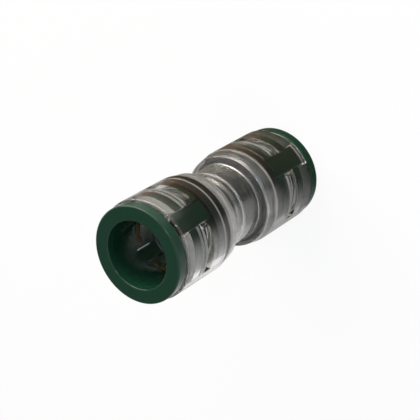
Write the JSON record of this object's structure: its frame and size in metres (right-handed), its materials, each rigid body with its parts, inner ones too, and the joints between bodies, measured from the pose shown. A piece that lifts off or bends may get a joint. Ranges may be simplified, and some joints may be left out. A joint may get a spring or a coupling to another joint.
{
  "type": "push-in tube coupling",
  "caption": "Straight push-in coupling for small plastic tube: a clear waisted housing with a green release collet at each end.",
  "frame": {"origin": "centre of the lower collet's face, on which the coupling stands", "axes": "+Z along the bore to the upper collet, +X and +Y through the middles of the windows"},
  "size_m": [0.022, 0.022, 0.0533],
  "materials": {
    "clear_plastic": "clear, polished, faintly smoky",
    "green_plastic": "dark bottle green, satin gloss",
    "dark_plastic": "dark grey, satin",
    "seal_rubber": "black, smooth",
    "tooth_steel": "stainless, bright"
  },
  "bodies": {
    "body": {"housing": "clear_plastic", "top_seal": "seal_rubber", "bottom_seal": "seal_rubber", "top_spacer": "dark_plastic", "bottom_spacer": "dark_plastic"},
    "top_grip": {"top_collet": "green_plastic", "top_tooth_1": "tooth_steel", "top_tooth_2": "tooth_steel", "top_tooth_3": "tooth_steel", "top_tooth_4": "tooth_steel"},
    "bottom_grip": {"bottom_collet": "green_plastic", "bottom_tooth_1": "tooth_steel", "bottom_tooth_2": "tooth_steel", "bottom_tooth_3": "tooth_steel", "bottom_tooth_4": "tooth_steel"}
  },
  "joints": [
    {"name": "top_release", "type": "slide", "parent": "body", "child": "top_grip", "axis": [0, 0, 1], "range_m": [0, 0.0008]},
    {"name": "bottom_release", "type": "slide", "parent": "body", "child": "bottom_grip", "axis": [0, 0, -1], "range_m": [0, 0.0008]}
  ]
}
